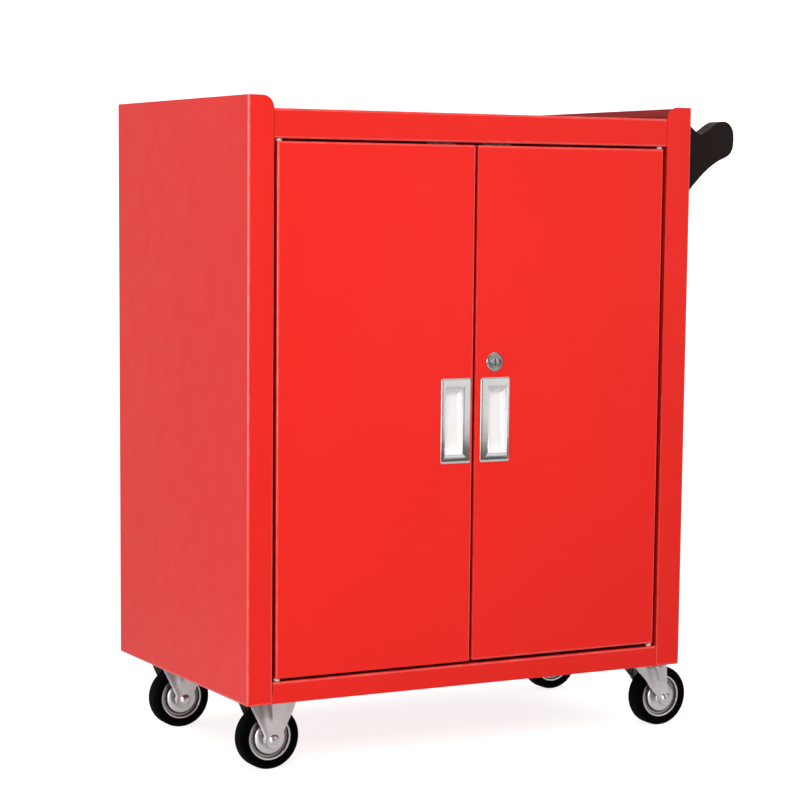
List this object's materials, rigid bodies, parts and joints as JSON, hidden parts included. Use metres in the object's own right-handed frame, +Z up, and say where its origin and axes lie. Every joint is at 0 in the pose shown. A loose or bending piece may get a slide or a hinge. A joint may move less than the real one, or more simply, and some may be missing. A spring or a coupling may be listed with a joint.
{
  "type": "rolling tool box",
  "caption": "Red sheet-steel tool cabinet on casters, with hinged doors, chrome flush pulls, a cam lock, inner shelves and a black push handle on its side.",
  "frame": {"origin": "on the floor, below the middle of the whole object's box", "axes": "+X to the right along the front (towards the push handle), +Y from the front to the rear, +Z up"},
  "size_m": [0.724, 0.4066, 0.8225],
  "materials": {
    "cabinet_paint": "semi-gloss powder coat",
    "door_paint": "semi-gloss powder coat",
    "shelf_paint": "semi-gloss powder coat",
    "chrome_plate": "bright chrome plate",
    "caster_zinc": "zinc-plated pressed steel",
    "hardware_zinc": "bright zinc plate",
    "tyre_rubber": "black rubber",
    "handle_plastic": "moulded black plastic with a fine grain",
    "handle_tube_paint": "satin black powder coat",
    "nylon": "natural nylon",
    "catch_plastic": "white plastic"
  },
  "bodies": {
    "cabinet": {"left_side_panel": "cabinet_paint", "right_side_panel": "cabinet_paint", "rear_panel": "cabinet_paint", "top_panel": "cabinet_paint", "bottom_panel": "cabinet_paint", "bottom_front_rail": "cabinet_paint", "upper_shelf": "shelf_paint", "lower_shelf": "shelf_paint", "shelf_standards": "hardware_zinc", "shelf_clips": "hardware_zinc", "front_left_caster_bracket": "caster_zinc", "rear_left_caster_bracket": "caster_zinc", "left_axle_bolts": "hardware_zinc", "left_axle_nuts": "hardware_zinc", "left_axle_sleeves": "hardware_zinc", "front_right_caster_plate": "caster_zinc", "rear_right_caster_plate": "caster_zinc", "caster_bolts": "hardware_zinc", "caster_nuts": "hardware_zinc", "swivel_bearing_balls": "hardware_zinc", "swivel_kingpins": "hardware_zinc", "handle_front_bracket": "handle_plastic", "handle_rear_bracket": "handle_plastic", "handle_tube": "handle_tube_paint", "handle_screws": "hardware_zinc", "door_pivot_pins": "hardware_zinc", "magnet_catches": "catch_plastic", "lock_strike": "hardware_zinc", "rear_panel_screws": "hardware_zinc"},
    "left_door": {"left_door_skin": "door_paint", "left_door_stiffener": "door_paint", "left_flush_pull": "chrome_plate", "left_door_bushes": "nylon", "left_catch_plate": "hardware_zinc"},
    "right_door": {"right_door_skin": "door_paint", "right_door_stiffener": "door_paint", "right_flush_pull": "chrome_plate", "right_door_bushes": "nylon", "right_catch_plate": "hardware_zinc", "lock_housing": "chrome_plate", "lock_nut": "hardware_zinc"},
    "lock_barrel": {"lock_plug": "chrome_plate", "lock_cam": "hardware_zinc", "cam_screw": "hardware_zinc"},
    "front_right_swivel": {"front_right_fork": "caster_zinc", "front_right_axle_bolt": "hardware_zinc", "front_right_axle_nut": "hardware_zinc", "front_right_axle_sleeve": "hardware_zinc"},
    "rear_right_swivel": {"rear_right_fork": "caster_zinc", "rear_right_axle_bolt": "hardware_zinc", "rear_right_axle_nut": "hardware_zinc", "rear_right_axle_sleeve": "hardware_zinc"},
    "front_left_wheel": {"front_left_wheel_hub": "caster_zinc", "front_left_tyre": "tyre_rubber"},
    "rear_left_wheel": {"rear_left_wheel_hub": "caster_zinc", "rear_left_tyre": "tyre_rubber"},
    "front_right_wheel": {"front_right_wheel_hub": "caster_zinc", "front_right_tyre": "tyre_rubber"},
    "rear_right_wheel": {"rear_right_wheel_hub": "caster_zinc", "rear_right_tyre": "tyre_rubber"}
  },
  "joints": [
    {"name": "left_door_hinge", "type": "hinge", "parent": "cabinet", "child": "left_door", "pos_m": [-0.3201, -0.19485, 0.4495], "axis": [0, 0, -1], "range_deg": [0, 100]},
    {"name": "right_door_hinge", "type": "hinge", "parent": "cabinet", "child": "right_door", "pos_m": [0.2229, -0.19485, 0.4495], "axis": [0, 0, 1], "range_deg": [0, 100]},
    {"name": "lock_turn", "type": "hinge", "parent": "right_door", "child": "lock_barrel", "pos_m": [-0.0225, -0.20085, 0.502], "axis": [0, -1, 0], "range_deg": [0, 90]},
    {"name": "front_right_caster_swivel", "type": "hinge", "parent": "cabinet", "child": "front_right_swivel", "pos_m": [0.234, -0.13585, 0.0945], "axis": [0, 0, 1], "continuous": true},
    {"name": "rear_right_caster_swivel", "type": "hinge", "parent": "cabinet", "child": "rear_right_swivel", "pos_m": [0.234, 0.13615, 0.0945], "axis": [0, 0, 1], "continuous": true},
    {"name": "front_left_wheel_spin", "type": "hinge", "parent": "cabinet", "child": "front_left_wheel", "pos_m": [-0.305, -0.13585, 0.04], "axis": [0, 1, 0], "continuous": true},
    {"name": "rear_left_wheel_spin", "type": "hinge", "parent": "cabinet", "child": "rear_left_wheel", "pos_m": [-0.305, 0.13615, 0.04], "axis": [0, 1, 0], "continuous": true},
    {"name": "front_right_wheel_spin", "type": "hinge", "parent": "front_right_swivel", "child": "front_right_wheel", "pos_m": [0.2795, -0.13585, 0.04], "axis": [0, 1, 0], "continuous": true},
    {"name": "rear_right_wheel_spin", "type": "hinge", "parent": "rear_right_swivel", "child": "rear_right_wheel", "pos_m": [0.2795, 0.13615, 0.04], "axis": [0, 1, 0], "continuous": true}
  ]
}
